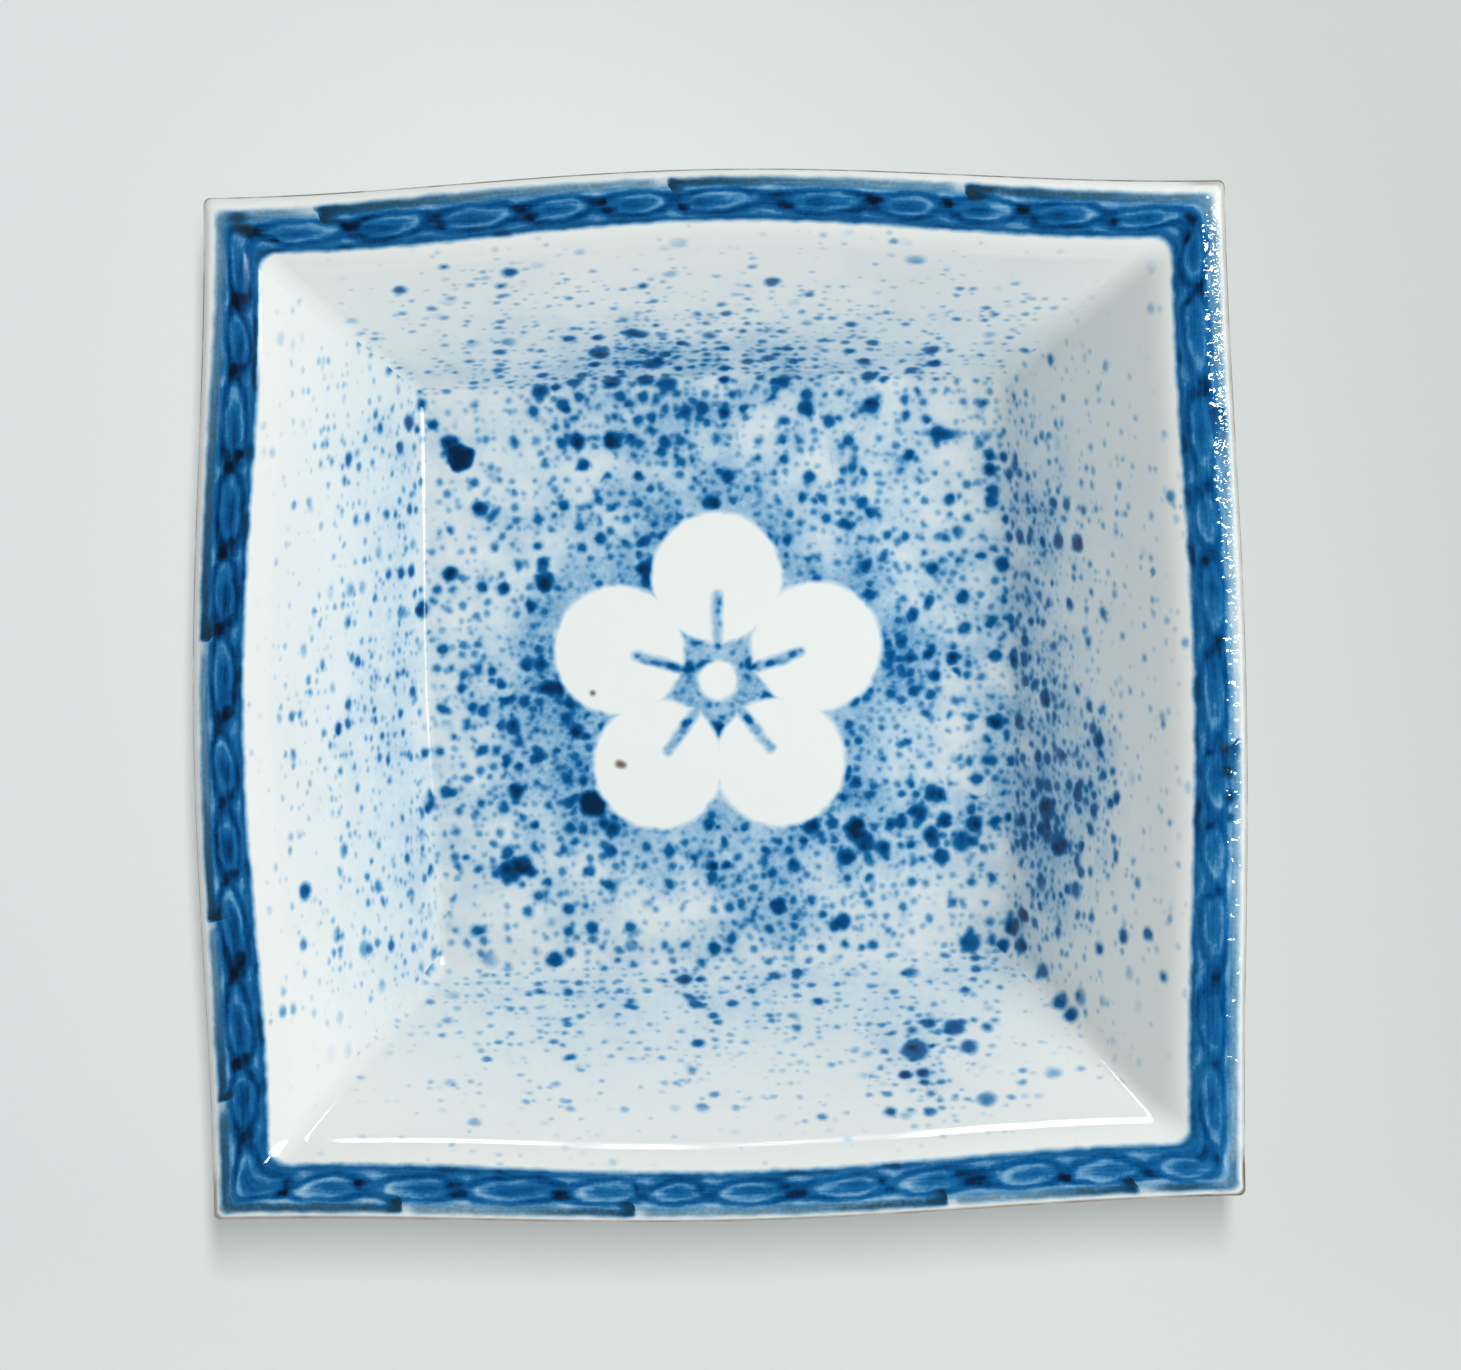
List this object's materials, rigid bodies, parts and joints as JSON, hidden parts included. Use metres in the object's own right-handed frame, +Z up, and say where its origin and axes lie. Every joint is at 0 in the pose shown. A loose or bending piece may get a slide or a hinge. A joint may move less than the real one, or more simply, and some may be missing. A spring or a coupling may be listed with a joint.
{
  "type": "soy sauce dish",
  "caption": "Small square porcelain dish with a flat floor, sloping mitred walls, an everted lip with a blue painted border, and a raised foot ring; holds soy sauce at table.",
  "frame": {"origin": "centre of the plane that the foot ring stands on", "axes": "+Z up out of the well; X and Y square to the four sides, with -Y towards the front wall"},
  "size_m": [0.099, 0.099, 0.0294],
  "materials": {
    "porcelain_glaze": "clear gloss glaze over white porcelain, with blown cobalt splatter in the well",
    "cobalt_border": "hand-painted cobalt chain border under clear gloss glaze",
    "iron_edging": "thin iron-brown line, worn, under clear gloss glaze",
    "foot_biscuit": "glazed sides with a bare, matt standing edge"
  },
  "bodies": {
    "root": {"floor_slab": "porcelain_glaze", "wall_front": "porcelain_glaze", "wall_right": "porcelain_glaze", "wall_back": "porcelain_glaze", "wall_left": "porcelain_glaze", "foot_ring": "foot_biscuit", "border_band": "cobalt_border", "rim_edging": "iron_edging"}
  },
  "joints": []
}
